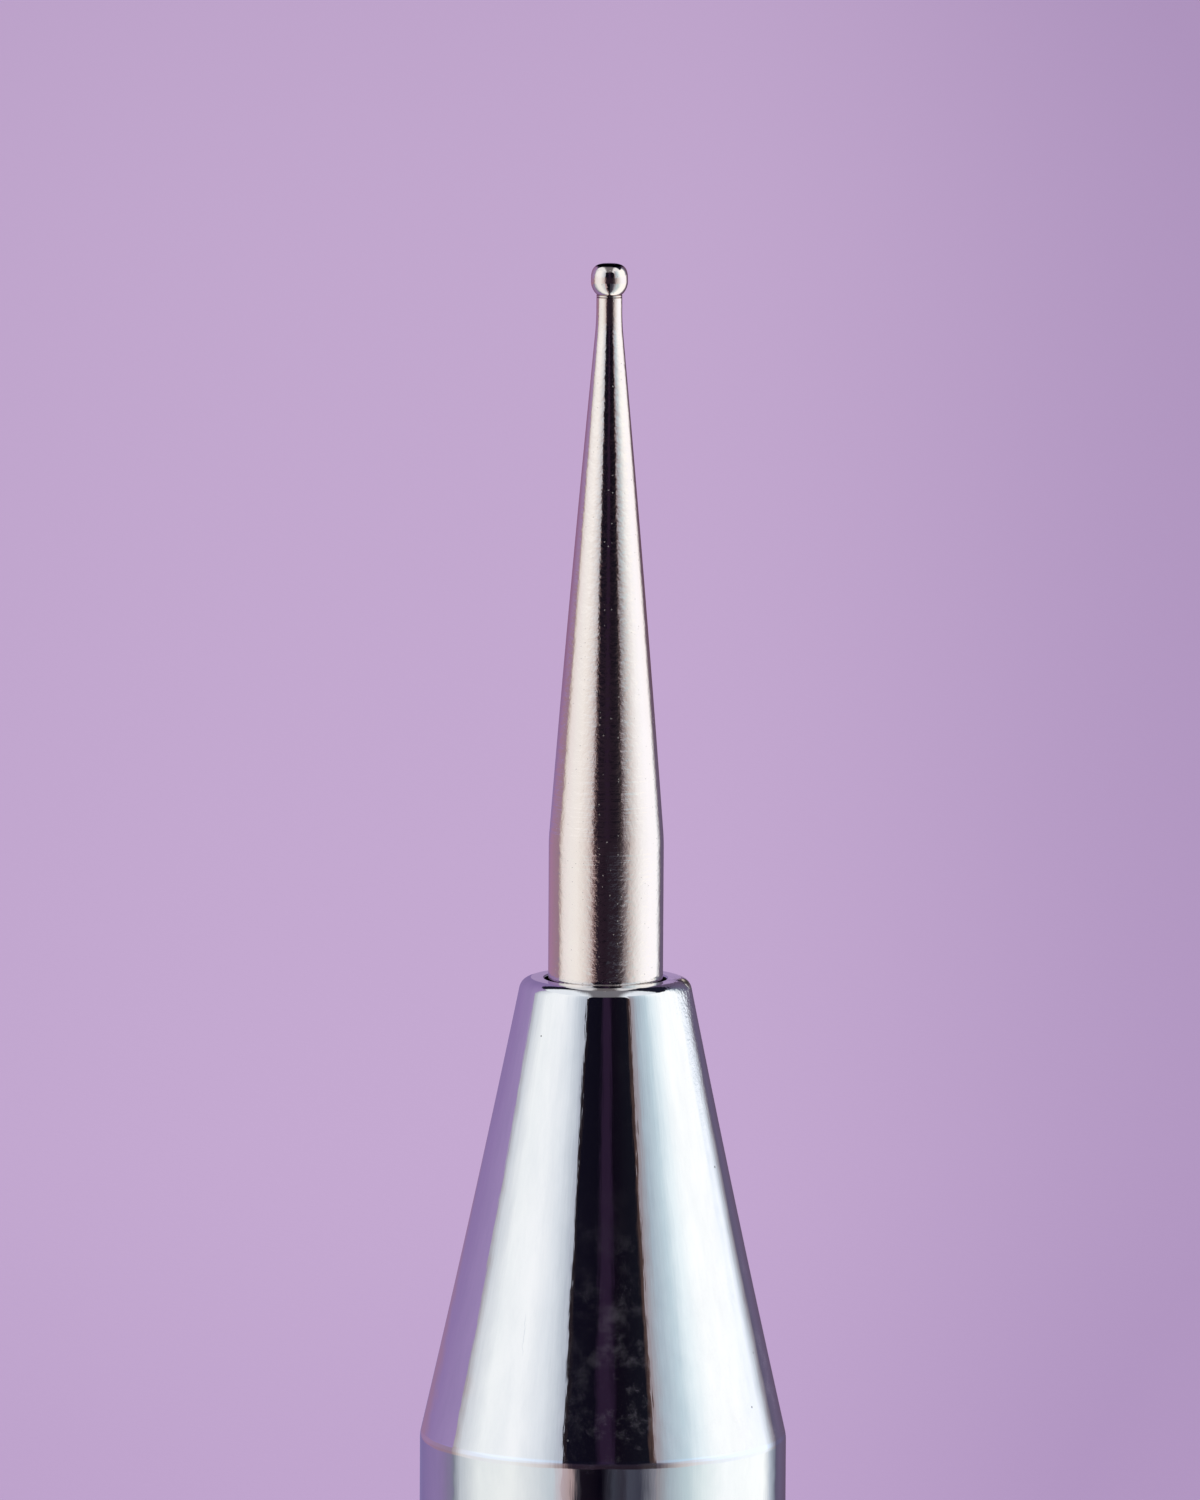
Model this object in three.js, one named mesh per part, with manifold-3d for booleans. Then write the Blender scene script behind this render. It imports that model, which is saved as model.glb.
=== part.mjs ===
import * as THREE from 'three';
import { mergeVertices } from 'three/addons/utils/BufferGeometryUtils.js';
import Module from 'manifold-3d';

// Nail dotting tool: a pen-sized handle that stands on a weighted flat end cap.
// A ball stylus is gripped in a drawn nose cone, which screws out of the handle.
// All sizes are in millimetres, +Z runs up the tool, and the origin is the centre of the foot.

// End cap, a turned cup with a slug in it
const capHeight = 14;
const capFootRadius = 4.8;
const capTopRadius = 4.2;
const capFootRound = 0.4;
const capBoreRadius = 3.6;
const capFloor = 1.2;

// Barrel, with turned finger grooves below its front end
const barrelLength = 92;
const barrelRearRadius = 4.25;
const barrelSwellRadius = 4.85;
const barrelFrontRadius = 4.05;
const barrelSwellHeight = 56;
const barrelBoreRadius = 3.2;
const barrelDrillRelief = 0.5;
const barrelEdge = 0.25;
const grooveCount = 9;
const groovePitch = 2;
const grooveWidth = 0.55;
const grooveDepth = 0.22;
const grooveSetback = 5;

// Trim rings at the two ends of the barrel
const rearRingHeight = 1.1;
const frontRingHeight = 1.1;
const ringRecess = 0.2;

// Plug and socket pressed into the barrel
const plugDepthInBarrel = 8;
const plugDepthInCap = 5.5;
const socketDepth = 9;
const mouthChamfer = 0.25;

// Thread between the socket and the nose, drawn at its mean diameter
const threadRadius = 2.5;
const threadReach = 4.6;

// Drawn nose cone with its lip turned in
const skirtRadius = 4;
const skirtLength = 3.8;
const coneHeight = 10.06;
const coneMouthRadius = 1.83;
const coneHollow = 0.035;
const shellWall = 0.35;
const mouthHoleRadius = 1.33;
const mouthRound = 0.28;
const skirtCornerRound = 0.12;

// Bush that grips the stylus, split into four jaws at its upper end
const bushSetback = 3;
const jawSlotDepth = 5;
const jawSlotWidth = 0.4;
const sealHeight = 0.8;
const sealWidth = 0.85;

// Turned ball stylus
const shankRadius = 1.25;
const stylusDepth = 9.2;
const shankReach = 3.05;
const taperLength = 11.26;
const taperBow = 0.025;
const neckRadius = 0.28;
const neckLength = 0.6;
const ballRadius = 0.4;
const ballHalfHeight = 0.39;
const ballTopFullness = 3.2;
const ballUnderFullness = 2;
const tailChamfer = 0.25;
const tailGrooveCount = 3;
const tailGroovePitch = 1.2;
const tailGrooveWidth = 0.4;
const tailGrooveDepth = 0.12;

// Clearances
const pressGap = 0.03;
const threadGap = 0.06;
const slidingGap = 0.02;
const turningGap = 0.05;
const seatGap = 0.05;

// Roundness of the turned pieces
const roundSides = 32;
const swellSteps = 10;
const coneSteps = 4;
const taperSteps = 5;
const arcSteps = 3;
const ballSteps = 5;
const mergeDistance = 1e-4;

const wasm = await Module();
wasm.setup();

// Heights of the joints between the pieces, stacked up from the foot
const rearRingBase = capHeight;
const barrelBase = rearRingBase + rearRingHeight;
const frontRingBase = barrelBase + barrelLength;
const noseBase = frontRingBase + frontRingHeight + turningGap;
const mouthHeight = noseBase + skirtLength + coneHeight;

const finishes = {
  chrome: { color: 0xd9dbe0, roughness: 0.08, metalness: 1 },
  warmSteel: { color: 0xcfc3b4, roughness: 0.2, metalness: 1 },
  satinBarrel: { color: 0xb9b7bf, roughness: 0.34, metalness: 1 },
  darkRing: { color: 0x2a2a30, roughness: 0.3, metalness: 1 },
  brass: { color: 0xc2a25a, roughness: 0.35, metalness: 1 },
  steel: { color: 0x9a9ca0, roughness: 0.4, metalness: 1 },
  rubber: { color: 0x1a1a1c, roughness: 0.8, metalness: 0 },
};

function outline() {
  const points = [];
  return {
    points,
    to(radius, height) {
      points.push(new THREE.Vector2(radius, height));
      return this;
    },
    arc(centreRadius, centreHeight, round, from, sweep) {
      for (let step = 0; step <= arcSteps; step += 1) {
        const angle = THREE.MathUtils.degToRad(from + (sweep * step) / arcSteps);
        this.to(centreRadius + round * Math.cos(angle), centreHeight + round * Math.sin(angle));
      }
      return this;
    },
    curve(steps, radiusAt, heightAt) {
      for (let step = 0; step <= steps; step += 1) {
        this.to(radiusAt(step / steps), heightAt(step / steps));
      }
      return this;
    },
  };
}

// Turns an outline, walked up its outer side, into a solid of revolution about Z
function turned(shape) {
  const isNew = (point, index, all) => index === 0 || point.distanceTo(all[index - 1]) > mergeDistance;
  const points = shape.points.filter(isNew);
  const last = points[points.length - 1];
  if (points[0].x > 0 || last.x > 0) {
    points.push(points[0].clone());
  }
  const geometry = new THREE.LatheGeometry(points, roundSides);
  geometry.rotateX(Math.PI / 2);
  return geometry;
}

function piece(name, geometry, finish, height) {
  const mesh = new THREE.Mesh(geometry, new THREE.MeshStandardMaterial(finishes[finish]));
  mesh.name = name;
  mesh.position.z = height;
  return mesh;
}

function solidOf(geometry) {
  const bare = geometry.clone();
  bare.deleteAttribute('normal');
  bare.deleteAttribute('uv');
  const merged = mergeVertices(bare, mergeDistance);
  const vertProperties = new Float32Array(merged.attributes.position.array);
  const triVerts = new Uint32Array(merged.index.array);
  return new wasm.Manifold(new wasm.Mesh({ numProp: 3, vertProperties, triVerts }));
}

function geometryOf(solid) {
  const mesh = solid.getMesh();
  const geometry = new THREE.BufferGeometry();
  geometry.setAttribute('position', new THREE.BufferAttribute(new Float32Array(mesh.vertProperties), 3));
  geometry.setIndex(new THREE.BufferAttribute(new Uint32Array(mesh.triVerts), 1));
  return geometry;
}

// Radius of the cone's outer face at a height above the skirt's corner, slightly hollow in its middle
function coneRadius(height) {
  const share = height / coneHeight;
  return THREE.MathUtils.lerp(skirtRadius, coneMouthRadius, share) - 4 * coneHollow * share * (1 - share);
}

// The cap's side leans in from the foot to the ring, steepest at the foot
function endCap() {
  const sideHeight = capHeight - capFootRound;
  const shape = outline()
    .to(0, 0)
    .arc(capFootRadius - capFootRound, capFootRound, capFootRound, -90, 90)
    .curve(
      swellSteps,
      (t) => capTopRadius + (capFootRadius - capTopRadius) * (1 - t) ** 2,
      (t) => capFootRound + sideHeight * t,
    )
    .to(capBoreRadius, capHeight)
    .to(capBoreRadius, capFloor)
    .to(0, capFloor);
  return piece('end_cap', turned(shape), 'chrome', 0);
}

function endWeight() {
  const slugHeight = capHeight - capFloor - plugDepthInCap - seatGap;
  const slugRadius = capBoreRadius - pressGap;
  const shape = outline().to(0, 0).to(slugRadius, 0).to(slugRadius, slugHeight).to(0, slugHeight);
  return piece('end_weight', turned(shape), 'steel', capFloor);
}

// A stepped plug: the wide step is pressed into the cap, the narrow one into the barrel
function rearPlug() {
  const wide = capBoreRadius - pressGap;
  const narrow = barrelBoreRadius - pressGap;
  const top = plugDepthInCap + rearRingHeight + plugDepthInBarrel;
  const shape = outline()
    .to(0, 0)
    .to(wide, 0)
    .to(wide, plugDepthInCap)
    .to(narrow, plugDepthInCap)
    .to(narrow, top - mouthChamfer)
    .to(narrow - mouthChamfer, top)
    .to(0, top);
  return piece('rear_plug', turned(shape), 'brass', capHeight - plugDepthInCap);
}

function trimRing(name, outerRadius, ringHeight, height) {
  const shape = outline()
    .to(barrelBoreRadius, 0)
    .to(outerRadius, 0)
    .to(outerRadius, ringHeight)
    .to(barrelBoreRadius, ringHeight);
  return piece(name, turned(shape), 'darkRing', height);
}

// The barrel swells to its thickest between the ends, and narrows along a parabola each way
function barrelRadius(height) {
  const above = height > barrelSwellHeight;
  const endRadius = above ? barrelFrontRadius : barrelRearRadius;
  const span = above ? barrelLength - barrelSwellHeight : barrelSwellHeight;
  return barrelSwellRadius - (barrelSwellRadius - endRadius) * ((height - barrelSwellHeight) / span) ** 2;
}

// Turned from bar, and drilled from each end for the plug and the socket
function barrel() {
  const grooveTop = barrelLength - grooveSetback;
  const grooveFoot = grooveTop - groovePitch * grooveCount;
  const rearDrill = plugDepthInBarrel + barrelDrillRelief;
  const frontDrill = barrelLength - socketDepth - barrelDrillRelief;
  const shape = outline()
    .to(0, rearDrill)
    .to(barrelBoreRadius, rearDrill)
    .to(barrelBoreRadius, 0)
    .to(barrelRearRadius - barrelEdge, 0);
  const plainHeight = (t) => THREE.MathUtils.lerp(barrelEdge, grooveFoot, t);
  shape.curve(swellSteps, (t) => barrelRadius(plainHeight(t)), plainHeight);
  for (let index = 1; index <= grooveCount; index += 1) {
    const centre = grooveFoot + groovePitch * index;
    const floor = barrelRadius(centre) - grooveDepth;
    const lower = centre - grooveWidth / 2;
    const upper = centre + grooveWidth / 2;
    shape.to(barrelRadius(lower), lower).to(floor, lower + grooveDepth / 2);
    shape.to(floor, upper - grooveDepth / 2).to(barrelRadius(upper), upper);
  }
  shape
    .to(barrelRadius(barrelLength - barrelEdge), barrelLength - barrelEdge)
    .to(barrelFrontRadius - barrelEdge, barrelLength)
    .to(barrelBoreRadius, barrelLength)
    .to(barrelBoreRadius, frontDrill)
    .to(0, frontDrill);
  return piece('barrel', turned(shape), 'satinBarrel', barrelBase);
}

// The socket reaches up through the front ring and carries the inside thread
function frontSocket() {
  const outer = barrelBoreRadius - pressGap;
  const inner = threadRadius + threadGap;
  const top = socketDepth + frontRingHeight;
  const shape = outline()
    .to(inner, 0)
    .to(outer - mouthChamfer, 0)
    .to(outer, mouthChamfer)
    .to(outer, top)
    .to(inner + mouthChamfer, top)
    .to(inner, top - mouthChamfer);
  return piece('front_socket', turned(shape), 'brass', frontRingBase - socketDepth);
}

// Rubber ring held in the skirt's recess between the bush and the socket
function sealRing() {
  const inner = threadRadius + threadGap;
  const outer = inner + sealWidth;
  const round = sealHeight / 4;
  const shape = outline()
    .to(inner, round)
    .to(inner + round, 0)
    .to(outer - round, 0)
    .to(outer, round)
    .to(outer, sealHeight - round)
    .to(outer - round, sealHeight)
    .to(inner + round, sealHeight)
    .to(inner, sealHeight - round);
  return piece('seal_ring', turned(shape), 'rubber', noseBase);
}

// One drawn shell: skirt, cone and a lip turned in round the mouth, with the same wall all over
function noseCone() {
  const shape = outline()
    .to(skirtRadius - shellWall, 0)
    .to(skirtRadius - skirtCornerRound, 0)
    .to(skirtRadius, skirtCornerRound)
    .to(skirtRadius, skirtLength - skirtCornerRound);
  shape.curve(
    coneSteps,
    (t) => coneRadius(THREE.MathUtils.lerp(skirtCornerRound, coneHeight - 2 * mouthRound, t)),
    (t) => skirtLength + THREE.MathUtils.lerp(skirtCornerRound, coneHeight - 2 * mouthRound, t),
  );
  shape.arc(coneMouthRadius - mouthRound, skirtLength + coneHeight - mouthRound, mouthRound, 15, 75);
  shape
    .to(mouthHoleRadius, skirtLength + coneHeight)
    .to(mouthHoleRadius, skirtLength + coneHeight - shellWall);
  shape.curve(
    coneSteps,
    (t) => coneRadius(THREE.MathUtils.lerp(coneHeight - shellWall, 0, t)) - shellWall,
    (t) => skirtLength + THREE.MathUtils.lerp(coneHeight - shellWall, 0, t),
  );
  return piece('nose_cone', turned(shape), 'chrome', noseBase);
}

// The bush fills the shell, holds the stylus in a blind bore and ends in the threaded spigot
function noseBush() {
  const shoulder = sealHeight + 2 * turningGap;
  const top = skirtLength + coneHeight - bushSetback;
  const boreFloor = skirtLength + coneHeight - stylusDepth - seatGap;
  const boreRadius = shankRadius + slidingGap;
  const wallGap = shellWall + pressGap;
  const shape = outline()
    .to(0, -threadReach)
    .to(threadRadius - mouthChamfer, -threadReach)
    .to(threadRadius, mouthChamfer - threadReach)
    .to(threadRadius, shoulder)
    .to(skirtRadius - wallGap, shoulder);
  shape.curve(
    coneSteps,
    (t) => coneRadius(t * (coneHeight - bushSetback)) - wallGap,
    (t) => skirtLength + t * (coneHeight - bushSetback),
  );
  shape.to(boreRadius, top).to(boreRadius, boreFloor).to(0, boreFloor);
  const slot = new THREE.BoxGeometry(2 * skirtRadius, jawSlotWidth, jawSlotDepth);
  slot.translate(0, 0, top + (seatGap - jawSlotDepth) / 2);
  const crossSlot = slot.clone();
  crossSlot.rotateZ(Math.PI / 2);
  const split = solidOf(turned(shape)).subtract(solidOf(slot)).subtract(solidOf(crossSlot));
  return piece('nose_bush', geometryOf(split), 'brass', noseBase);
}

// One turned piece: chamfered tail with grip grooves, shank, long taper, neck and ball
function ballStylus() {
  const shape = outline().to(0, 0).to(shankRadius - tailChamfer, 0).to(shankRadius, tailChamfer);
  for (let index = 1; index <= tailGrooveCount; index += 1) {
    const lower = index * tailGroovePitch;
    const upper = lower + tailGrooveWidth;
    shape.to(shankRadius, lower).to(shankRadius - tailGrooveDepth, lower + tailGrooveDepth);
    shape.to(shankRadius - tailGrooveDepth, upper - tailGrooveDepth).to(shankRadius, upper);
  }
  const taperFoot = stylusDepth + shankReach;
  const taperRadius = (t) => THREE.MathUtils.lerp(shankRadius, neckRadius, t) + 4 * taperBow * t * (1 - t);
  shape.curve(taperSteps, taperRadius, (t) => taperFoot + taperLength * t);
  const neckTop = taperFoot + taperLength + neckLength;
  const joinAngle = Math.asin((neckRadius / ballRadius) ** (ballUnderFullness / 2));
  const ballCentre = neckTop + ballHalfHeight * Math.cos(joinAngle) ** (2 / ballUnderFullness);
  const side = (angle, fullness) => ballRadius * Math.sin(angle) ** (2 / fullness);
  const rise = (angle, fullness) => ballHalfHeight * Math.cos(angle) ** (2 / fullness);
  const underAngle = (t) => THREE.MathUtils.lerp(joinAngle, Math.PI / 2, t);
  const topAngle = (t) => THREE.MathUtils.lerp(Math.PI / 2, 0, t);
  shape.curve(
    ballSteps,
    (t) => side(underAngle(t), ballUnderFullness),
    (t) => ballCentre - rise(underAngle(t), ballUnderFullness),
  );
  shape.curve(
    ballSteps,
    (t) => (t < 1 ? side(topAngle(t), ballTopFullness) : 0),
    (t) => ballCentre + rise(topAngle(t), ballTopFullness),
  );
  return piece('ball_stylus', turned(shape), 'warmSteel', mouthHeight - stylusDepth);
}

const handle = new THREE.Group();
handle.add(endCap(), endWeight(), rearPlug(), barrel(), frontSocket());
handle.add(trimRing('rear_ring', capTopRadius - ringRecess, rearRingHeight, rearRingBase));
handle.add(trimRing('front_ring', skirtRadius - ringRecess, frontRingHeight, frontRingBase));

const nose = new THREE.Group();
nose.add(noseCone(), noseBush());

const tool = new THREE.Group();
tool.add(handle, sealRing(), nose, ballStylus());

export default tool;
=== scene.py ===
import math

import bmesh
import bpy
from mathutils import Matrix, Vector
from mathutils import noise as snoise


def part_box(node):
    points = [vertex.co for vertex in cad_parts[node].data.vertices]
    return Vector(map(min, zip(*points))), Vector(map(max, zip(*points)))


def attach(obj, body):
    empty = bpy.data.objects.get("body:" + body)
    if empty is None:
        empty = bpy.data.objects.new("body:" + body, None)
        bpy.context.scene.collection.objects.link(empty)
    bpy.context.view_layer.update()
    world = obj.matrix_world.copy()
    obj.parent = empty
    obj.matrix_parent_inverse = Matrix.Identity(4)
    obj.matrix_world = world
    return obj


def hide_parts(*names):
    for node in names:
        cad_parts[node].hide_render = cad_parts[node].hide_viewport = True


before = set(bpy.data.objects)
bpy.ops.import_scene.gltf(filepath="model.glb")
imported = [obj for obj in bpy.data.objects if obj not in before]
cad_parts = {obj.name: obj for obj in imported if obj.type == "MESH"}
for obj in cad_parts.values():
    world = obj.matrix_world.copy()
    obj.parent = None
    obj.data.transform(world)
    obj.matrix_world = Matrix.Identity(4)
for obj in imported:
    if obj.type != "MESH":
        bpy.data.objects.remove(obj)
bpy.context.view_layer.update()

# Camera
# A long lens close to the tool, looking a little down on the nose and the stylus.
# It is placed from the cone's lower corner, which the picture shows best.
MM = 0.001
CONE_HEIGHT = 10.06
LENS_LENGTH = 298.6
LONG_SIDE_OF_SENSOR = 36.0
LOOK_DOWN = math.radians(7.0)
LEAN = math.radians(0.318)
CAMERA_FROM_CORNER = Vector((-0.148, -268.09, 47.96))

nose_foot, nose_mouth = (corner.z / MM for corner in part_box("nose_cone"))
cone_corner = nose_mouth - CONE_HEIGHT
camera_data = bpy.data.cameras.new("studio_camera")
camera_data.lens = LENS_LENGTH
camera_data.sensor_width = LONG_SIDE_OF_SENSOR
camera_data.clip_start = 0.01
camera_data.clip_end = 200.0
camera = bpy.data.objects.new("studio_camera", camera_data)
bpy.context.scene.collection.objects.link(camera)
camera_place = (CAMERA_FROM_CORNER + Vector((0, 0, cone_corner))) * MM
tilt = Matrix.Rotation(math.pi / 2 - LOOK_DOWN, 4, "X")
camera.matrix_world = Matrix.Translation(camera_place) @ tilt @ Matrix.Rotation(LEAN, 4, "Z")
bpy.context.scene.camera = camera

# End cap
# A cup turned from brass bar and chrome plated, pressed over the rear plug.
# Its rounded edge keeps the flat foot that the tool stands on from marking a table.
CAP_FOOT_RADIUS = 4.8
CAP_TOP_RADIUS = 4.2
CAP_EDGE = 0.4
CAP_BORE_RADIUS = 3.6
CAP_FLOOR = 1.2
CAP_LIP = 0.12
CAP_STEPS = 24
FINE_SIDES = 224
SHARP_EDGE = 0.03
SUPPORT = 0.012
LONGEST_STRETCH = 1.6


def rounded(corners, steps=10):
    """Outline points from (radius, height, round) corners, each corner eased to an arc of its round."""
    points = []
    for index, (radius, height, bend) in enumerate(corners):
        here = Vector((radius, height))
        if bend == 0:
            points.append(here)
            continue
        before = Vector(corners[index - 1][:2]) - here
        after = Vector(corners[(index + 1) % len(corners)][:2]) - here
        half = before.angle(after) / 2
        reach = bend / math.tan(half)
        middle = here + (before.normalized() + after.normalized()).normalized() * (bend / math.sin(half))
        start = here + before.normalized() * reach - middle
        turn = start.angle_signed(here + after.normalized() * reach - middle)
        for step in range(steps + 1):
            angle = -turn * step / steps
            spoke = Matrix.Rotation(angle, 2) @ start
            points.append(middle + spoke)
    return points


def supported(points, closed):
    """The outline with extra points near the ends of its straight stretches, so that shading stays true."""
    dense = []
    count = len(points)
    for index, here in enumerate(points):
        dense.append(here)
        if index == count - 1 and not closed:
            break
        there = points[(index + 1) % count]
        length = (there - here).length
        if length < 4 * SUPPORT:
            continue
        pieces = math.ceil(length / LONGEST_STRETCH)
        margin = SUPPORT / length
        shares = [margin] + [step / pieces for step in range(1, pieces)] + [1 - margin]
        dense.extend(here.lerp(there, share) for share in shares)
    return dense


def turned(name, points, sides=FINE_SIDES):
    """A solid turned about Z from an outline in mm, which ends on the axis or closes on itself."""
    closed = points[0].x > 0
    outline = supported(points, closed)
    form = bmesh.new()
    rings = []
    for radius, height in outline:
        count = sides if radius > 1e-6 else 1
        angles = [math.tau * side / sides for side in range(count)]
        ring = [(radius * math.sin(a) * MM, radius * math.cos(a) * MM, height * MM) for a in angles]
        rings.append([form.verts.new(place) for place in ring])
    followers = rings[1:] + rings[:1] if closed else rings[1:]
    for lower, upper in zip(rings, followers):
        for side in range(sides):
            here, there = side, (side + 1) % sides
            corners = [lower[here % len(lower)], lower[there % len(lower)]]
            corners += [upper[there % len(upper)], upper[here % len(upper)]]
            corners = list(dict.fromkeys(corners))
            if len(corners) > 2:
                form.faces.new(corners)
    bmesh.ops.recalc_face_normals(form, faces=form.faces)
    mesh = bpy.data.meshes.new(name)
    form.to_mesh(mesh)
    form.free()
    mesh.shade_smooth()
    piece = bpy.data.objects.new(name, mesh)
    bpy.context.scene.collection.objects.link(piece)
    return piece


def finish_tree(name):
    """A new material with its shader, and the place on the piece in millimetres."""
    material = bpy.data.materials.new(name)
    material.use_nodes = True
    tree = material.node_tree
    shader = tree.nodes["Principled BSDF"]
    place = add(tree, "ShaderNodeTexCoord").outputs["Object"]
    scaled = add(tree, "ShaderNodeVectorMath", {0: place, 3: 1 / MM}, operation="SCALE")
    return material, tree, shader, scaled.outputs[0]


def add(tree, kind, inputs=None, **settings):
    """One node, with its settings made and its inputs set or linked."""
    node = tree.nodes.new(kind)
    for key, value in settings.items():
        setattr(node, key, value)
    for key, value in (inputs or {}).items():
        if isinstance(value, bpy.types.NodeSocket):
            tree.links.new(value, node.inputs[key])
        else:
            node.inputs[key].default_value = value
    return node


def math_node(tree, operation, *values, clamp=False):
    """The result of one sum on numbers or sockets."""
    inputs = dict(enumerate(values))
    return add(tree, "ShaderNodeMath", inputs, operation=operation, use_clamp=clamp).outputs[0]


def vector_node(tree, operation, *values):
    """The result of one sum on vectors."""
    return add(tree, "ShaderNodeVectorMath", dict(enumerate(values)), operation=operation).outputs[0]


def product(tree, first, *others):
    """The product of numbers or sockets."""
    for other in others:
        first = math_node(tree, "MULTIPLY", first, other)
    return first


def ramp(tree, value, start, end):
    """0 below start and 1 above end, with a soft step between them."""
    inputs = {"Value": value, "From Min": start, "From Max": end}
    return add(tree, "ShaderNodeMapRange", inputs, interpolation_type="SMOOTHSTEP").outputs[0]


def blend(tree, amount, low, high):
    """A colour between two, by amount."""
    inputs = {0: amount, 6: low, 7: high}
    return add(tree, "ShaderNodeMix", inputs, data_type="RGBA").outputs[2]


def noise(tree, place, scale, detail=2.0, roughness=0.5):
    """Soft noise between 0 and 1."""
    inputs = {"Vector": place, "Scale": scale, "Detail": detail, "Roughness": roughness}
    return add(tree, "ShaderNodeTexNoise", inputs).outputs[0]


def round_the_axis(tree, place, round_scale, height_scale):
    """A noise space that runs round the turned piece, stretched round it or along it by the scales."""
    flat = vector_node(tree, "MULTIPLY", place, (1, 1, 0))
    spoke = vector_node(tree, "NORMALIZE", flat)
    wide = vector_node(tree, "MULTIPLY", spoke, (round_scale,) * 3)
    high = vector_node(tree, "MULTIPLY", place, (0, 0, height_scale))
    return vector_node(tree, "ADD", wide, high)


def relief(tree, height, micrometres, below=None):
    """A bump of so many micrometres over any bump below it."""
    inputs = {"Height": height, "Distance": micrometres * 1e-6, "Strength": 1.0}
    if below is not None:
        inputs["Normal"] = below
    return add(tree, "ShaderNodeBump", inputs).outputs[0]


def specks(tree, place, scale, size, share):
    """Small round spots, one in each of a share of the cells."""
    cells = add(tree, "ShaderNodeTexVoronoi", {"Vector": place, "Scale": scale}, feature="F1")
    near = ramp(tree, cells.outputs["Distance"], size, size * 0.5)
    chosen = add(tree, "ShaderNodeSeparateColor", {0: cells.outputs["Color"]}).outputs[0]
    return product(tree, near, math_node(tree, "LESS_THAN", chosen, share))


PLATE_COLOUR = (0.78, 0.795, 0.82, 1)
PLATE_SHADE = (0.71, 0.735, 0.77, 1)
PLATE_SPECK_COLOUR = (0.22, 0.22, 0.24, 1)


def chrome_plate(name):
    """Bright chrome over a drawn or turned surface, with faint marks along it, smudges and a few specks."""
    material, tree, shader, place = finish_tree(name)
    marks = noise(tree, round_the_axis(tree, place, 11, 0.3), 1.0, 4.0, 0.6)
    peel = noise(tree, place, 0.9, 2.0)
    spots = specks(tree, place, 1.3, 0.045, 0.3)
    smudge = ramp(tree, noise(tree, place, 0.9, 4.0, 0.65), 0.54, 0.78)
    rough = math_node(tree, "MULTIPLY_ADD", smudge, 0.07, 0.035)
    rough = math_node(tree, "MULTIPLY_ADD", spots, 0.3, rough)
    normal = relief(tree, peel, 11.0)
    normal = relief(tree, marks, 3.0, normal)
    streaks = ramp(tree, noise(tree, round_the_axis(tree, place, 5, 0.45), 1.0, 6.0, 0.65), 0.3, 0.75)
    plate = blend(tree, streaks, PLATE_COLOUR, PLATE_SHADE)
    tree.links.new(blend(tree, spots, plate, PLATE_SPECK_COLOUR), shader.inputs["Base Color"])
    tree.links.new(rough, shader.inputs["Roughness"])
    tree.links.new(normal, shader.inputs["Normal"])
    shader.inputs["Metallic"].default_value = 1.0
    return material, tree, shader, place, rough, normal


cap_foot, cap_top = (corner.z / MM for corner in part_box("end_cap"))


def cap_side(share):
    """The cap's side leans in from the foot to the ring, most at the foot."""
    radius = CAP_TOP_RADIUS + (CAP_FOOT_RADIUS - CAP_TOP_RADIUS) * (1 - share) ** 2
    return radius, cap_foot + CAP_EDGE + (cap_top - cap_foot - CAP_EDGE) * share, 0


cap_outline = [(0, cap_foot, 0), (CAP_FOOT_RADIUS, cap_foot, CAP_EDGE * 0.92)]
cap_outline += [cap_side(step / CAP_STEPS) for step in range(1, CAP_STEPS)]
cap_outline += [
    (CAP_TOP_RADIUS, cap_top, CAP_LIP),
    (CAP_BORE_RADIUS, cap_top, SHARP_EDGE),
    (CAP_BORE_RADIUS, cap_foot + CAP_FLOOR, SHARP_EDGE),
    (0, cap_foot + CAP_FLOOR, 0),
]
end_cap = turned("cap_shell", rounded(cap_outline))
end_cap.data.materials.append(chrome_plate("cap_chrome")[0])
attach(end_cap, "handle")
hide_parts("end_cap")

# End weight
# A steel slug parted off bar, which drops into the cap before the plug closes it.
# It is out of sight in the finished tool, and it keeps its own solid.
SLUG_COLOUR = (0.42, 0.42, 0.44, 1)
SLUG_DARK = (0.3, 0.3, 0.32, 1)


def cut_metal(name, colour, dark, ring_scale, rough):
    """Bare metal as it leaves the lathe, with fine tool marks round it."""
    material, tree, shader, place = finish_tree(name)
    rings = noise(tree, round_the_axis(tree, place, 0.6, ring_scale), 1.0, 3.0)
    stain = noise(tree, place, 0.6, 3.0)
    tree.links.new(blend(tree, stain, colour, dark), shader.inputs["Base Color"])
    tree.links.new(math_node(tree, "MULTIPLY_ADD", rings, 0.14, rough), shader.inputs["Roughness"])
    tree.links.new(relief(tree, rings, 4.0), shader.inputs["Normal"])
    shader.inputs["Metallic"].default_value = 1.0
    return material


end_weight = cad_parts["end_weight"]
end_weight.data.materials.clear()
end_weight.data.materials.append(cut_metal("slug_steel", SLUG_COLOUR, SLUG_DARK, 9, 0.3))

# Rear plug
# A stepped brass plug: the wide step is pressed into the cap and the narrow one into the barrel.
# It is out of sight too, and it keeps its own solid.
BRASS_COLOUR = (0.72, 0.55, 0.28, 1)
BRASS_DARK = (0.56, 0.41, 0.2, 1)
turned_brass = cut_metal("turned_brass", BRASS_COLOUR, BRASS_DARK, 8, 0.22)
rear_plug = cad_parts["rear_plug"]
rear_plug.data.materials.clear()
rear_plug.data.materials.append(turned_brass)

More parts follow.
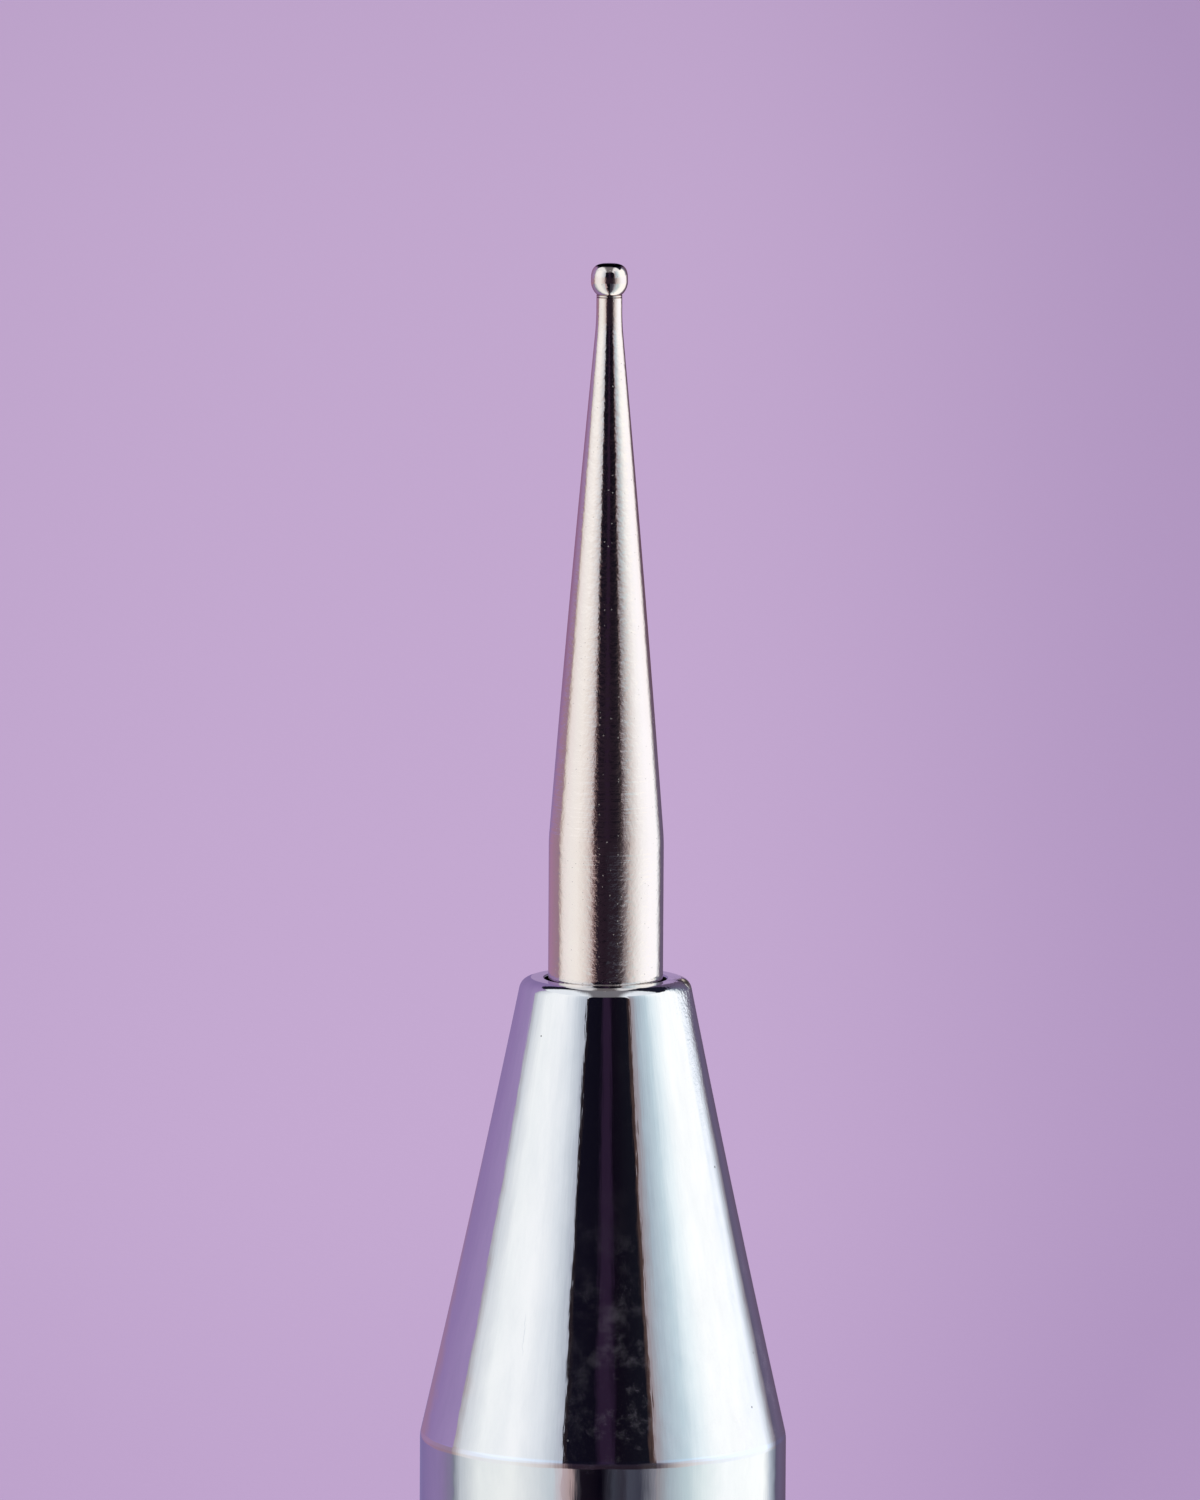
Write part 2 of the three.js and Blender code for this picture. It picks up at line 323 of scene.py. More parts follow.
# Trim rings
# Two aluminium rings, turned and dyed black, trapped at the ends of the barrel.
# They stand a little below the metal on each side, as a dark line round the tool.
RING_RECESS = 0.2
RING_EDGE = 0.06
RING_BORE_RADIUS = 3.2
SKIRT_RADIUS = 4.0
RING_COLOUR = (0.018, 0.018, 0.022, 1)
RING_WORN = (0.05, 0.048, 0.052, 1)


def dyed_aluminium(name):
    """Black dyed aluminium, with turning lines and a slightly greyer bloom."""
    material, tree, shader, place = finish_tree(name)
    rings = noise(tree, round_the_axis(tree, place, 0.8, 14), 1.0, 3.0)
    bloom = noise(tree, place, 1.4, 3.0)
    tree.links.new(blend(tree, bloom, RING_COLOUR, RING_WORN), shader.inputs["Base Color"])
    tree.links.new(math_node(tree, "MULTIPLY_ADD", rings, 0.16, 0.24), shader.inputs["Roughness"])
    tree.links.new(relief(tree, rings, 2.0), shader.inputs["Normal"])
    shader.inputs["Metallic"].default_value = 0.4
    return material


ring_finish = dyed_aluminium("dyed_ring")
for ring_name, node_name, neighbour_radius in (
    ("rear_trim_ring", "rear_ring", CAP_TOP_RADIUS),
    ("front_trim_ring", "front_ring", SKIRT_RADIUS),
):
    ring_foot, ring_top = (corner.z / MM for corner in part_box(node_name))
    ring_radius = neighbour_radius - RING_RECESS
    ring_outline = [
        (RING_BORE_RADIUS, ring_foot, SHARP_EDGE),
        (ring_radius, ring_foot, RING_EDGE),
        (ring_radius, ring_top, RING_EDGE),
        (RING_BORE_RADIUS, ring_top, SHARP_EDGE),
    ]
    trim_ring = turned(ring_name, rounded(ring_outline))
    trim_ring.data.materials.append(ring_finish)
    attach(trim_ring, "handle")
    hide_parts(node_name)

# Barrel
# The handle, turned from aluminium bar to a long swell, with nine finger grooves near the nose.
# It is drilled at each end for the plug and the socket, then satin anodised.
BARREL_REAR_RADIUS = 4.25
BARREL_SWELL_RADIUS = 4.85
BARREL_FRONT_RADIUS = 4.05
BARREL_SWELL_HEIGHT = 56.0
BARREL_EDGE = 0.25
REAR_DRILL = 8.5
FRONT_DRILL = 9.5
GROOVE_COUNT = 9
GROOVE_PITCH = 2.0
GROOVE_WIDTH = 0.55
GROOVE_DEPTH = 0.22
GROOVE_SETBACK = 5.0
GROOVE_EDGE = 0.05
GROOVE_CORNER = 0.08
PLAIN_STEPS = 44
BARREL_COLOUR = (0.71, 0.69, 0.72, 1)
BARREL_SHADE = (0.62, 0.6, 0.64, 1)
GROOVE_PAINTED_SHADE = (0.36, 0.34, 0.37, 1)
barrel_foot, barrel_top = (corner.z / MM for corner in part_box("barrel"))
barrel_length = barrel_top - barrel_foot


def barrel_radius(height):
    """The barrel narrows along a parabola from its swell to each end."""
    above = height > BARREL_SWELL_HEIGHT
    end_radius = BARREL_FRONT_RADIUS if above else BARREL_REAR_RADIUS
    span = barrel_length - BARREL_SWELL_HEIGHT if above else BARREL_SWELL_HEIGHT
    share = (height - BARREL_SWELL_HEIGHT) / span
    return BARREL_SWELL_RADIUS - (BARREL_SWELL_RADIUS - end_radius) * share**2


groove_foot = barrel_length - GROOVE_SETBACK - GROOVE_PITCH * GROOVE_COUNT
barrel_outline = [
    (0, REAR_DRILL, 0),
    (RING_BORE_RADIUS, REAR_DRILL, SHARP_EDGE),
    (RING_BORE_RADIUS, 0, SHARP_EDGE),
    (BARREL_REAR_RADIUS, 0, BARREL_EDGE * 0.9),
]
for step in range(1, PLAIN_STEPS + 1):
    height = BARREL_EDGE + (groove_foot - BARREL_EDGE) * step / PLAIN_STEPS
    barrel_outline.append((barrel_radius(height), height, 0))
for index in range(1, GROOVE_COUNT + 1):
    centre = groove_foot + GROOVE_PITCH * index
    lower, upper = centre - GROOVE_WIDTH / 2, centre + GROOVE_WIDTH / 2
    floor = barrel_radius(centre) - GROOVE_DEPTH
    barrel_outline += [
        (barrel_radius(lower), lower, GROOVE_EDGE),
        (floor, lower + GROOVE_DEPTH / 2, GROOVE_CORNER),
        (floor, upper - GROOVE_DEPTH / 2, GROOVE_CORNER),
        (barrel_radius(upper), upper, GROOVE_EDGE),
        (barrel_radius(centre + GROOVE_PITCH / 2), centre + GROOVE_PITCH / 2, 0),
    ]
barrel_outline += [
    (BARREL_FRONT_RADIUS, barrel_length, BARREL_EDGE * 0.9),
    (RING_BORE_RADIUS, barrel_length, SHARP_EDGE),
    (RING_BORE_RADIUS, barrel_length - FRONT_DRILL, SHARP_EDGE),
    (0, barrel_length - FRONT_DRILL, 0),
]
barrel_points = [Vector((point.x, point.y + barrel_foot)) for point in rounded(barrel_outline, 5)]
handle_barrel = turned("handle_barrel", barrel_points)

barrel_finish, tree, shader, place = finish_tree("satin_barrel")
turning = noise(tree, round_the_axis(tree, place, 0.35, 22), 1.0, 4.0, 0.7)
broad = noise(tree, round_the_axis(tree, place, 1.2, 0.12), 1.0, 3.0)
handled = ramp(tree, noise(tree, place, 0.12, 2.0), 0.45, 0.65)
barrel_tone = blend(tree, turning, BARREL_COLOUR, BARREL_SHADE)
height = add(tree, "ShaderNodeSeparateXYZ", {0: place}).outputs[2]
# Painted shade darkens the floors of the finger grooves, where the surface is hollow.
grooved = ramp(tree, height, barrel_foot + groove_foot, barrel_foot + groove_foot + 0.5)
hollow = ramp(tree, add(tree, "ShaderNodeNewGeometry").outputs["Pointiness"], 0.5, 0.45)
painted_groove_shade = product(tree, grooved, hollow)
tree.links.new(blend(tree, painted_groove_shade, barrel_tone, GROOVE_PAINTED_SHADE), shader.inputs["Base Color"])
satin = math_node(tree, "MULTIPLY_ADD", turning, 0.12, 0.2)
satin = math_node(tree, "MULTIPLY_ADD", handled, -0.03, satin)
satin = math_node(tree, "MULTIPLY_ADD", broad, 0.04, satin)
tree.links.new(satin, shader.inputs["Roughness"])
tree.links.new(relief(tree, turning, 3.5), shader.inputs["Normal"])
shader.inputs["Metallic"].default_value = 1.0
handle_barrel.data.materials.append(barrel_finish)
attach(handle_barrel, "handle")
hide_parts("barrel")

# Front socket
# A brass insert pressed into the barrel and up through the front ring, with the thread for the nose.
# Only its chamfered mouth shows, when the nose is off.
SOCKET_RADIUS = 3.17
SOCKET_BORE_RADIUS = 2.56
SOCKET_CHAMFER = 0.25
HIDDEN_SIDES = 128
socket_foot, socket_top = (corner.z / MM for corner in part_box("front_socket"))
socket_outline = [
    (SOCKET_BORE_RADIUS, socket_foot, SHARP_EDGE),
    (SOCKET_RADIUS - SOCKET_CHAMFER, socket_foot, SHARP_EDGE),
    (SOCKET_RADIUS, socket_foot + SOCKET_CHAMFER, SHARP_EDGE),
    (SOCKET_RADIUS, socket_top, SHARP_EDGE),
    (SOCKET_BORE_RADIUS + SOCKET_CHAMFER, socket_top, SHARP_EDGE),
    (SOCKET_BORE_RADIUS, socket_top - SOCKET_CHAMFER, SHARP_EDGE),
]
front_socket = turned("nose_socket", rounded(socket_outline, 4), HIDDEN_SIDES)
front_socket.data.materials.append(turned_brass)
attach(front_socket, "handle")
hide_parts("front_socket")

# Seal ring
# A moulded rubber ring that stays on the nose's spigot, tucked up inside the skirt.
# It is squeezed between the bush and the socket, so that the nose doesn't work loose.
SEAL_BORE_RADIUS = 2.56
SEAL_RADIUS = 3.41
SEAL_COLOUR = (0.012, 0.012, 0.013, 1)
SEAL_DUST = (0.035, 0.034, 0.036, 1)
seal_foot, seal_top = (corner.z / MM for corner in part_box("seal_ring"))
seal_round = (seal_top - seal_foot) * 0.45
seal_outline = [
    (SEAL_BORE_RADIUS, seal_foot, seal_round),
    (SEAL_RADIUS, seal_foot, seal_round),
    (SEAL_RADIUS, seal_top, seal_round),
    (SEAL_BORE_RADIUS, seal_top, seal_round),
]
rubber_ring = turned("rubber_seal", rounded(seal_outline), HIDDEN_SIDES)
rubber_finish, tree, shader, place = finish_tree("moulded_rubber")
dust = noise(tree, place, 2.5, 4.0)
tree.links.new(blend(tree, dust, SEAL_COLOUR, SEAL_DUST), shader.inputs["Base Color"])
tree.links.new(math_node(tree, "MULTIPLY_ADD", dust, 0.2, 0.5), shader.inputs["Roughness"])
tree.links.new(relief(tree, noise(tree, place, 9.0, 3.0), 6.0), shader.inputs["Normal"])
rubber_ring.data.materials.append(rubber_finish)
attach(rubber_ring, "seal")
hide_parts("seal_ring")

# Nose cone
# One shell drawn from brass sheet: a straight skirt, a slightly hollow cone and a lip turned in at the
# mouth. It is polished and chrome plated, and the plating is worn through at a small nick on the lip.
MOUTH_RADIUS = 1.83
CONE_HOLLOW = 0.035
CORNER_ROUND = 0.9
SKIRT_EDGE = 0.12
LIP_ROUND = 0.28
LIP_INNER_ROUND = 0.04
SHELL_WALL = 0.35
HOLE_RADIUS = 1.33
CONE_STEPS = 24
NOSE_SIDES = 288


def cone_radius(height):
    """Radius of the cone's outer face at a height in mm above its lower corner."""
    share = height / CONE_HEIGHT
    return SKIRT_RADIUS + (MOUTH_RADIUS - SKIRT_RADIUS) * share - 4 * CONE_HOLLOW * share * (1 - share)


flank = [CONE_HEIGHT * step / CONE_STEPS for step in range(1, CONE_STEPS)]
shell_outline = [
    (SKIRT_RADIUS - SHELL_WALL, nose_foot, SHARP_EDGE),
    (SKIRT_RADIUS, nose_foot, SKIRT_EDGE),
    (SKIRT_RADIUS, cone_corner, CORNER_ROUND),
]
shell_outline += [(cone_radius(height), cone_corner + height, 0) for height in flank]
shell_outline += [
    (MOUTH_RADIUS, nose_mouth, LIP_ROUND),
    (HOLE_RADIUS, nose_mouth, LIP_INNER_ROUND),
    (HOLE_RADIUS, nose_mouth - SHELL_WALL, SHARP_EDGE),
    (cone_radius(CONE_HEIGHT - SHELL_WALL) - SHELL_WALL, nose_mouth - SHELL_WALL, SHARP_EDGE),
]
inner_flank = [height for height in reversed(flank) if height < CONE_HEIGHT - 2 * SHELL_WALL]
shell_outline += [(cone_radius(height) - SHELL_WALL, cone_corner + height, 0) for height in inner_flank]
shell_outline.append((SKIRT_RADIUS - SHELL_WALL, cone_corner, 0))
nose_shell = turned("nose_shell", rounded(shell_outline, 14), NOSE_SIDES)

NICK_PLACE = Vector((1.72, -0.3, nose_mouth - 0.06))
NICK_SIZE = 0.26
NICK_DEPTH = 0.07
NICK_RAGGED = 0.08
CORNER_WOBBLE = 0.02
CORNER_WOBBLE_REACH = 1.2
for vertex in nose_shell.data.vertices:
    spot = vertex.co / MM
    gap = (spot - NICK_PLACE).length + NICK_RAGGED * snoise.noise(spot * 9.0)
    if gap < NICK_SIZE:
        push = NICK_DEPTH * math.cos(1.5 * math.pi * gap / NICK_SIZE) * (1 - gap / NICK_SIZE)
        vertex.co -= Vector((spot.x, spot.y, 1.2)).normalized() * push * MM
    near_corner = max(0.0, 1 - abs(spot.z - cone_corner) / CORNER_WOBBLE_REACH)
    vertex.co.z += CORNER_WOBBLE * near_corner * snoise.noise(Vector((spot.x, spot.y, 0)) * 1.1) * MM


def distance(tree, place, spot=(0, 0, 0)):
    """How far a place is from a spot."""
    return add(tree, "ShaderNodeVectorMath", {0: place, 1: spot}, operation="DISTANCE").outputs[1]


def apart(tree, value, middle):
    """How far a value is from a middle."""
    return math_node(tree, "ABSOLUTE", math_node(tree, "SUBTRACT", value, middle))


SCRATCH_FOOT = Vector((-1.74, cone_corner + 2.1))
SCRATCH_HEAD = Vector((-1.66, cone_corner + 3.2))
SCRATCH_WANDER = 0.1
SPECK_PLACE = Vector((-1.38, -1.5, nose_mouth - 1.08))
SPECK_COLOUR = (0.03, 0.03, 0.035, 1)
HAZE = 0.075
WORN_COLOUR = (0.5, 0.43, 0.36, 1)
CORNER_PAINTED_HIGHLIGHT = (0.77, 0.84, 0.95, 1)
nose_finish, tree, shader, place, rough, normal = chrome_plate("nose_chrome")
across, fore, height = add(tree, "ShaderNodeSeparateXYZ", {0: place}).outputs
front_side = math_node(tree, "LESS_THAN", fore, 0.0)

prints = ramp(tree, noise(tree, place, 1.7, 6.0, 0.72), 0.47, 0.72)
low_part = ramp(tree, height, cone_corner + 6.5, cone_corner + 1.0)
above_corner = ramp(tree, height, cone_corner - 0.3, cone_corner + 0.1)
right_part = ramp(tree, across, -1.6, 1.0)
haze = product(tree, prints, low_part, above_corner, right_part, front_side, HAZE)

to_nick = distance(tree, place, NICK_PLACE)
chipped = ramp(tree, to_nick, 0.3, 0.12)
right_edge = ramp(tree, across, 1.5, 1.9)
upper_part = ramp(tree, height, nose_mouth - 4.5, nose_mouth - 0.5)
frayed_edge = product(tree, right_edge, upper_part, 0.35)
frayed = math_node(tree, "MAXIMUM", ramp(tree, to_nick, 1.5, 0.3), frayed_edge)
grit = noise(tree, place, 13.0, 3.0)
normal = relief(tree, product(tree, grit, frayed), 14.0, normal)

scratch_slope = (SCRATCH_HEAD.x - SCRATCH_FOOT.x) / (SCRATCH_HEAD.y - SCRATCH_FOOT.y)
scratch_start = SCRATCH_FOOT.x - SCRATCH_FOOT.y * scratch_slope - SCRATCH_WANDER / 2
scratch_line = math_node(tree, "MULTIPLY_ADD", height, scratch_slope, scratch_start)
scratch_line = math_node(tree, "MULTIPLY_ADD", noise(tree, place, 5.0, 2.0), SCRATCH_WANDER, scratch_line)
above_foot = ramp(tree, height, SCRATCH_FOOT.y, SCRATCH_FOOT.y + 0.3)
below_head = ramp(tree, height, SCRATCH_HEAD.y, SCRATCH_HEAD.y - 0.2)
on_scratch = ramp(tree, apart(tree, across, scratch_line), 0.03, 0.008)
scratch = product(tree, on_scratch, above_foot, below_head, front_side)
normal = relief(tree, scratch, -2.5, normal)

# Painted highlight: a thin bluish bright line along the rounded corner above the skirt.
highlight_above = ramp(tree, height, cone_corner - 0.03, cone_corner + 0.01)
highlight_below = ramp(tree, height, cone_corner + 0.11, cone_corner + 0.06)
on_speck = ramp(tree, distance(tree, place, SPECK_PLACE), 0.025, 0.015)
plate_colour = shader.inputs["Base Color"].links[0].from_socket
plate_colour = blend(tree, product(tree, highlight_above, highlight_below), plate_colour, CORNER_PAINTED_HIGHLIGHT)
plate_colour = blend(tree, chipped, plate_colour, WORN_COLOUR)
plate_colour = blend(tree, on_speck, plate_colour, SPECK_COLOUR)
rough = math_node(tree, "MULTIPLY_ADD", chipped, 0.3, rough)
rough = math_node(tree, "MULTIPLY_ADD", haze, 0.6, rough)
tree.links.new(plate_colour, shader.inputs["Base Color"])
tree.links.new(rough, shader.inputs["Roughness"])
tree.links.new(normal, shader.inputs["Normal"])
tree.links.new(math_node(tree, "SUBTRACT", 1.0, haze), shader.inputs["Metallic"])
nose_shell.data.materials.append(nose_finish)
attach(nose_shell, "nose")
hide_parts("nose_cone")

# Nose bush
# A brass bush pressed up into the shell. Its upper end is slit into four jaws that grip the stylus,
# and below the shell it ends in the threaded spigot.
BUSH_GAP = 0.03
BUSH_SETBACK = 3.0
BUSH_BORE_RADIUS = 1.27
BUSH_SHOULDER = 0.9
SPIGOT_ROOT_RADIUS = 2.22
SPIGOT_CREST_RADIUS = 2.5
SPIGOT_CHAMFER = 0.25
THREAD_PITCH = 0.75
JAW_SLOT_DEPTH = 5.0
JAW_SLOT_WIDTH = 0.4
JAW_SLOT_OVERRUN = 0.1
STYLUS_SEAT_GAP = 0.05
bush_foot, bush_top = (corner.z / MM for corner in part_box("nose_bush"))
bore_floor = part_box("ball_stylus")[0].z / MM - STYLUS_SEAT_GAP
bush_wall = SHELL_WALL + BUSH_GAP
spigot_top = nose_foot + BUSH_SHOULDER
bush_outline = [
    (0, bush_foot, 0),
    (SPIGOT_ROOT_RADIUS - SPIGOT_CHAMFER, bush_foot, SHARP_EDGE),
    (SPIGOT_ROOT_RADIUS, bush_foot + SPIGOT_CHAMFER, SHARP_EDGE),
    (SPIGOT_ROOT_RADIUS, spigot_top - 2 * THREAD_PITCH, SHARP_EDGE),
    (SPIGOT_CREST_RADIUS, spigot_top - 1.6 * THREAD_PITCH, SHARP_EDGE),
    (SPIGOT_CREST_RADIUS, spigot_top, SHARP_EDGE),
    (SKIRT_RADIUS - bush_wall, spigot_top, SHARP_EDGE),
    (SKIRT_RADIUS - bush_wall, cone_corner, 0),
]
bush_flank = [height for height in flank if height < CONE_HEIGHT - BUSH_SETBACK - 0.2]
bush_outline += [(cone_radius(height) - bush_wall, cone_corner + height, 0) for height in bush_flank]
bush_outline += [
    (cone_radius(CONE_HEIGHT - BUSH_SETBACK) - bush_wall, bush_top, SHARP_EDGE),
    (BUSH_BORE_RADIUS, bush_top, SHARP_EDGE),
    (BUSH_BORE_RADIUS, bore_floor, SHARP_EDGE),
    (0, bore_floor, 0),
]
bush_body = turned("gripping_bush", rounded(bush_outline, 4), HIDDEN_SIDES)

slots = bmesh.new()
for turn in (0, math.pi / 2):
    size = Matrix.Diagonal((2 * SKIRT_RADIUS * MM, JAW_SLOT_WIDTH * MM, JAW_SLOT_DEPTH * MM, 1))
    middle = bush_top + (JAW_SLOT_OVERRUN - JAW_SLOT_DEPTH) / 2
    rise = Matrix.Translation((0, 0, middle * MM))
    bmesh.ops.create_cube(slots, size=1.0, matrix=Matrix.Rotation(turn, 4, "Z") @ rise @ size)
slot_mesh = bpy.data.meshes.new("jaw_slots")
slots.to_mesh(slot_mesh)
slots.free()
slot_cutter = bpy.data.objects.new("jaw_slots", slot_mesh)
bpy.context.scene.collection.objects.link(slot_cutter)
cut = bush_body.modifiers.new("jaw_slots", "BOOLEAN")
cut.operation = "DIFFERENCE"
cut.solver = "EXACT"
cut.use_self = True
cut.object = slot_cutter
depsgraph = bpy.context.evaluated_depsgraph_get()
slit_mesh = bpy.data.meshes.new_from_object(bush_body.evaluated_get(depsgraph))
bush_body.modifiers.clear()
bush_body.data = slit_mesh
bpy.data.objects.remove(slot_cutter)
bush_body.data.materials.clear()
bush_body.data.materials.append(turned_brass)
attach(bush_body, "nose")
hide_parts("nose_bush")


def thread_tree(material):
    """A ridge of triangular section wound up a screw line, with its sizes as inputs."""
    tree = bpy.data.node_groups.new("thread_ridge", "GeometryNodeTree")
    face = tree.interface
    face.new_socket("Geometry", in_out="OUTPUT", socket_type="NodeSocketGeometry")
    for title in ("Root radius", "Crest radius", "Pitch", "Length", "Foot"):
        face.new_socket(title, in_out="INPUT", socket_type="NodeSocketFloat")
    given = tree.nodes.new("NodeGroupInput").outputs
    turns = math_node(tree, "DIVIDE", given["Length"], given["Pitch"])
    spiral_inputs = {
        "Resolution": 48,
        "Rotations": turns,
        "Start Radius": given["Root radius"],
        "End Radius": given["Root radius"],
        "Height": given["Length"],
    }
    spiral = add(tree, "GeometryNodeCurveSpiral", spiral_inputs)
    height = math_node(tree, "SUBTRACT", given["Crest radius"], given["Root radius"])
    section = add(tree, "GeometryNodeCurvePrimitiveCircle", {"Resolution": 3, "Radius": height})
    ridge_inputs = {"Curve": spiral.outputs[0], "Profile Curve": section.outputs[0], "Fill Caps": True}
    ridge = add(tree, "GeometryNodeCurveToMesh", ridge_inputs).outputs[0]
    rise = add(tree, "ShaderNodeCombineXYZ", {2: given["Foot"]}).outputs[0]
    placed = add(tree, "GeometryNodeTransform", {"Geometry": ridge, "Translation": rise})
    real = add(tree, "GeometryNodeRealizeInstances", {0: placed.outputs[0]})
    dressed = add(tree, "GeometryNodeSetMaterial", {"Geometry": real.outputs[0], "Material": material})
    out = tree.nodes.new("NodeGroupOutput")
    tree.links.new(dressed.outputs[0], out.inputs[0])
    return tree


def grown(name, tree, **sizes):
    """The plain mesh that a geometry tree makes with these sizes in metres."""
    seed = bpy.data.objects.new(name, bpy.data.meshes.new(name))
    bpy.context.scene.collection.objects.link(seed)
    maker = seed.modifiers.new(name, "NODES")
    maker.node_group = tree
    items = tree.interface.items_tree
    sockets = {item.name.replace(" ", "_").lower(): item.identifier for item in items}
    for title, value in sizes.items():
        maker[sockets[title]] = value
    made = bpy.data.meshes.new_from_object(seed.evaluated_get(bpy.context.evaluated_depsgraph_get()))
    seed.modifiers.clear()
    seed.data = made
    return seed


thread_foot = bush_foot + THREAD_PITCH
thread_length = spigot_top - 2.4 * THREAD_PITCH - thread_foot
spigot_thread = grown(
    "spigot_thread",
    thread_tree(turned_brass),
    root_radius=SPIGOT_ROOT_RADIUS * MM,
    crest_radius=SPIGOT_CREST_RADIUS * MM,
    pitch=THREAD_PITCH * MM,
    length=thread_length * MM,
    foot=thread_foot * MM,
)
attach(spigot_thread, "nose")

# Ball stylus
# One piece turned from steel wire: a tail with grip grooves, a shank, a long taper, a neck and the ball.
# It is polished by tumbling and nickel plated, which leaves fine pits and a slightly warm colour.
SHANK_RADIUS = 1.25
STYLUS_DEPTH = 9.2
SHANK_REACH = 3.05
TAPER_LENGTH = 11.26
TAPER_BOW = 0.025
NECK_RADIUS = 0.28
NECK_LENGTH = 0.6
BALL_RADIUS = 0.4
BALL_HALF_HEIGHT = 0.39
BALL_TOP_FULLNESS = 3.2
BALL_UNDER_FULLNESS = 2.0
BAND_HEIGHT = 0.05
LINE_WIDTH = 0.024
LINE_DEPTH = 0.01
TAIL_CHAMFER = 0.25
TAIL_GROOVES = 3
TAIL_GROOVE_PITCH = 1.2
TAIL_GROOVE_WIDTH = 0.4
TAIL_GROOVE_DEPTH = 0.12
SHOULDER_BLEND = 5.0
NECK_BLEND = 6.0
TAPER_STEPS = 20
BALL_STEPS = 22
STYLUS_SIDES = 192
stylus_foot, stylus_tip = (corner.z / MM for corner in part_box("ball_stylus"))
stylus_outline = [
    (0, 0, 0),
    (SHANK_RADIUS - TAIL_CHAMFER, 0, SHARP_EDGE),
    (SHANK_RADIUS, TAIL_CHAMFER, SHARP_EDGE),
]
for index in range(1, TAIL_GROOVES + 1):
    lower = index * TAIL_GROOVE_PITCH
    upper = lower + TAIL_GROOVE_WIDTH
    floor = SHANK_RADIUS - TAIL_GROOVE_DEPTH
    stylus_outline += [
        (SHANK_RADIUS, lower, SHARP_EDGE),
        (floor, lower + TAIL_GROOVE_DEPTH, SHARP_EDGE),
        (floor, upper - TAIL_GROOVE_DEPTH, SHARP_EDGE),
        (SHANK_RADIUS, upper, SHARP_EDGE),
    ]
taper_foot = STYLUS_DEPTH + SHANK_REACH
taper_top = taper_foot + TAPER_LENGTH
stylus_outline.append((SHANK_RADIUS, taper_foot, SHOULDER_BLEND))
for step in range(2, TAPER_STEPS):
    share = step / TAPER_STEPS
    radius = SHANK_RADIUS + (NECK_RADIUS - SHANK_RADIUS) * share + 4 * TAPER_BOW * share * (1 - share)
    stylus_outline.append((radius, taper_foot + TAPER_LENGTH * share, 0))
neck_top = taper_top + NECK_LENGTH
lower_line = neck_top - BAND_HEIGHT - LINE_WIDTH / 2
upper_line = neck_top - LINE_WIDTH / 2
stylus_outline += [
    (NECK_RADIUS, taper_top, NECK_BLEND),
    (NECK_RADIUS, lower_line - LINE_WIDTH / 2, 0),
    (NECK_RADIUS - LINE_DEPTH, lower_line, 0),
    (NECK_RADIUS, lower_line + LINE_WIDTH / 2, 0),
    (NECK_RADIUS, upper_line - LINE_WIDTH / 2, 0),
    (NECK_RADIUS - LINE_DEPTH, upper_line, 0),
]
join_angle = math.asin((NECK_RADIUS / BALL_RADIUS) ** (BALL_UNDER_FULLNESS / 2))
ball_centre = neck_top + BALL_HALF_HEIGHT * math.cos(join_angle) ** (2 / BALL_UNDER_FULLNESS)
for step in range(BALL_STEPS):
    angle = join_angle + (math.pi / 2 - join_angle) * step / BALL_STEPS
    radius = BALL_RADIUS * math.sin(angle) ** (2 / BALL_UNDER_FULLNESS)
    height = ball_centre - BALL_HALF_HEIGHT * math.cos(angle) ** (2 / BALL_UNDER_FULLNESS)
    stylus_outline.append((radius, height, 0))
for step in range(BALL_STEPS + 1):
    angle = math.pi / 2 * (1 - step / BALL_STEPS)
    radius = BALL_RADIUS * max(0.0, math.sin(angle)) ** (2 / BALL_TOP_FULLNESS)
    height = ball_centre + BALL_HALF_HEIGHT * max(0.0, math.cos(angle)) ** (2 / BALL_TOP_FULLNESS)
    stylus_outline.append((radius if step < BALL_STEPS else 0, height, 0))
stylus_points = [Vector((point.x, point.y + stylus_foot)) for point in rounded(stylus_outline, 8)]
dotting_stylus = turned("dotting_stylus", stylus_points, STYLUS_SIDES)

NICKEL_COLOUR = (0.83, 0.772, 0.742, 1)
NICKEL_SHADE = (0.79, 0.73, 0.7, 1)
NICKEL_PIT = (0.3, 0.25, 0.24, 1)
NICKEL_LINE = (0.3, 0.22, 0.2, 1)
NICKEL_PAINTED_EDGE = (1.0, 0.75, 0.65, 1)
PAINTED_EDGE_REACH = 5.0
BALL_TOP_PAINTED_REFLECTION = (0.03, 0.03, 0.07, 1)
BALL_REFLECTION_DEPTH = 0.075
stylus_finish, tree, shader, place = finish_tree("polished_nickel")
grain = noise(tree, place, 9.0, 3.0, 0.6)
orange = noise(tree, place, 3.2, 2.0)
lines = noise(tree, round_the_axis(tree, place, 0.5, 15), 1.0, 3.0, 0.6)
shoulder = stylus_foot + taper_foot
height = add(tree, "ShaderNodeSeparateXYZ", {0: place}).outputs[2]
lines = product(tree, lines, ramp(tree, apart(tree, height, shoulder + 0.5), 2.4, 0.3))
patches = noise(tree, place, 1.3, 3.0)
pits = specks(tree, place, 12.0, 0.16, 0.22)
tone = blend(tree, patches, NICKEL_COLOUR, NICKEL_SHADE)
tone = blend(tree, product(tree, pits, 0.3), tone, NICKEL_PIT)
for line in (lower_line, upper_line):
    from_line = apart(tree, height, stylus_foot + line)
    tone = blend(tree, ramp(tree, from_line, 0.022, 0.008), tone, NICKEL_LINE)
